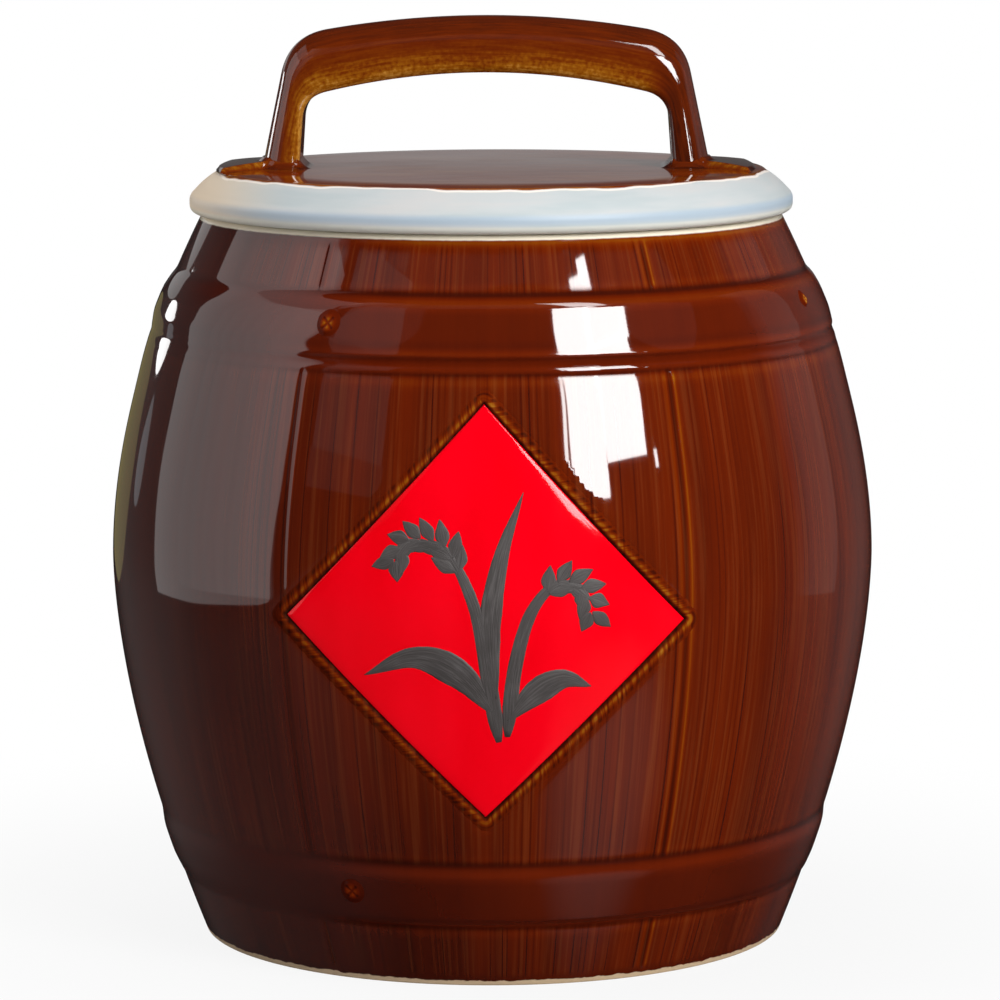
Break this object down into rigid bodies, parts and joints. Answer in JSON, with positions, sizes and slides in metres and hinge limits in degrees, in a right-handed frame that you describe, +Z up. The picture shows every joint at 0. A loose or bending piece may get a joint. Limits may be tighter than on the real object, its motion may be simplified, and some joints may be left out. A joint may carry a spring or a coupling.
{
  "type": "rice storage jar",
  "caption": "Barrel-shaped glazed stoneware rice jar with moulded staves and hoops, a red diamond panel and a lift-off lid with a strap handle and seal.",
  "frame": {"origin": "middle of the jar's round foot, on the surface that the jar stands on", "axes": "+Z up the jar's axis, -Y out of the front where the red panel is, X along the handle"},
  "size_m": [0.2898, 0.2896, 0.3478],
  "materials": {
    "brown_glaze": "glossy dark red-brown glaze, amber where it runs thin",
    "red_enamel": "satin bright red enamel",
    "pale_glaze": "satin pale blue-white glaze on the rim, glossy brown glaze on the flat top",
    "handle_glaze": "glossy brown glaze, amber on the edges",
    "silicone": "translucent white silicone"
  },
  "bodies": {
    "jar": {"jar_body": "brown_glaze", "red_panel": "red_enamel"},
    "seal": {"seal_ring": "silicone"},
    "cover": {"lid": "pale_glaze", "lid_handle": "handle_glaze"}
  },
  "joints": [
    {"name": "lid_lift", "type": "slide", "parent": "jar", "child": "seal", "axis": [0, 0, 1], "range_m": [0, 0.15]},
    {"name": "lid_turn", "type": "hinge", "parent": "seal", "child": "cover", "pos_m": [0, 0, 0.2743], "axis": [0, 0, 1], "continuous": true}
  ]
}
